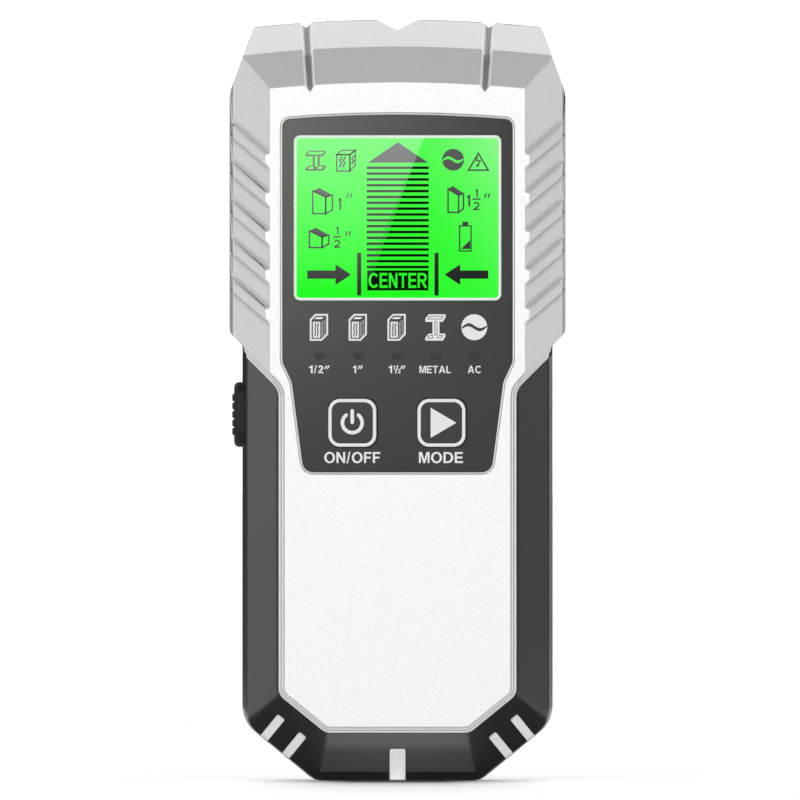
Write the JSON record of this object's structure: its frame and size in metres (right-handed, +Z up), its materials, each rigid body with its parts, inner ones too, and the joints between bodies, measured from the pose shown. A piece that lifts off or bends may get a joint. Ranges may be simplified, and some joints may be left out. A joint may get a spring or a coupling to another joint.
{
  "type": "handheld stud finder",
  "caption": "Handheld wall scanner with a ribbed silver head, lit display, two square front keys, a side scan button, rubber grip and a hinged rear battery door",
  "frame": {"origin": "middle of the flat foot that the tool stands on, at the bottom centre of its bounding box", "axes": "+Z up along the tool's length, front face with the display towards -Y, +X to the right when looking at the display"},
  "size_m": [0.0734, 0.029, 0.166],
  "materials": {
    "shell_silver": "fine sparkle silver paint on moulded plastic",
    "shell_dark": "fine spark-eroded texture",
    "grip_rubber": "soft matte overmould",
    "panel_charcoal": "satin printed panel",
    "display_window": "clear window over a lit green display",
    "key_charcoal": "satin keys with white printing",
    "button_rubber": "matte black rubber",
    "foam": "closed-cell foam",
    "felt": "short felt",
    "screw_steel": "zinc plated",
    "board_green": "green solder mask",
    "copper": "bare copper",
    "chip_black": "moulded epoxy",
    "display_glass": "display glass",
    "diffuser_white": "white moulded plastic",
    "zebra_rubber": "pink layered silicone",
    "clear_plastic": "clear moulded plastic",
    "capacitor_sleeve": "shrink sleeve",
    "ceramic_tan": "ceramic",
    "battery_steel": "plain metal jacket",
    "lead_red": "red insulation"
  },
  "bodies": {
    "case": {"front_shell": "shell_silver", "rear_shell": "shell_dark", "grip_overmould": "grip_rubber", "panel_overlay": "panel_charcoal", "window_lens": "display_window", "glide_pads": "felt", "case_screws": "screw_steel", "main_board": "board_green", "main_board_screws": "screw_steel", "sensor_board": "board_green", "sensor_board_screws": "screw_steel", "sensor_plates": "copper", "metal_coil": "copper", "board_header": "chip_black", "lcd_gasket": "foam", "lcd_glass": "display_glass", "lcd_guide": "diffuser_white", "lcd_frame": "diffuser_white", "lcd_connector": "zebra_rubber", "backlight_leds": "diffuser_white", "indicator_leds": "diffuser_white", "light_pipes": "clear_plastic", "key_switches": "chip_black", "scan_switch": "chip_black", "controller_chip": "chip_black", "amplifier_chips": "chip_black", "regulator": "chip_black", "crystal": "screw_steel", "capacitors": "capacitor_sleeve", "smd_parts": "ceramic_tan", "buzzer": "chip_black", "battery": "battery_steel", "battery_terminals": "screw_steel", "snap_cap": "button_rubber", "snap_contacts": "screw_steel", "red_lead": "lead_red", "black_lead": "button_rubber"},
    "power": {"power_key": "key_charcoal", "power_plunger": "diffuser_white"},
    "mode": {"mode_key": "key_charcoal", "mode_plunger": "diffuser_white"},
    "scan": {"scan_button": "button_rubber", "scan_plunger": "diffuser_white"},
    "door": {"battery_door": "shell_dark", "door_foam": "foam"}
  },
  "joints": [
    {"name": "power_press", "type": "slide", "parent": "case", "child": "power", "axis": [0, 1, 0], "range_m": [0, 0.0005], "stiffness_N_per_m": 300},
    {"name": "mode_press", "type": "slide", "parent": "case", "child": "mode", "axis": [0, 1, 0], "range_m": [0, 0.0005], "stiffness_N_per_m": 300},
    {"name": "scan_press", "type": "slide", "parent": "case", "child": "scan", "axis": [1, 0, 0], "range_m": [0, 0.0012], "stiffness_N_per_m": 300},
    {"name": "door_swing", "type": "hinge", "parent": "case", "child": "door", "pos_m": [0, 0.0129, 0.0144], "axis": [-1, 0, 0], "range_deg": [0, 75]}
  ]
}
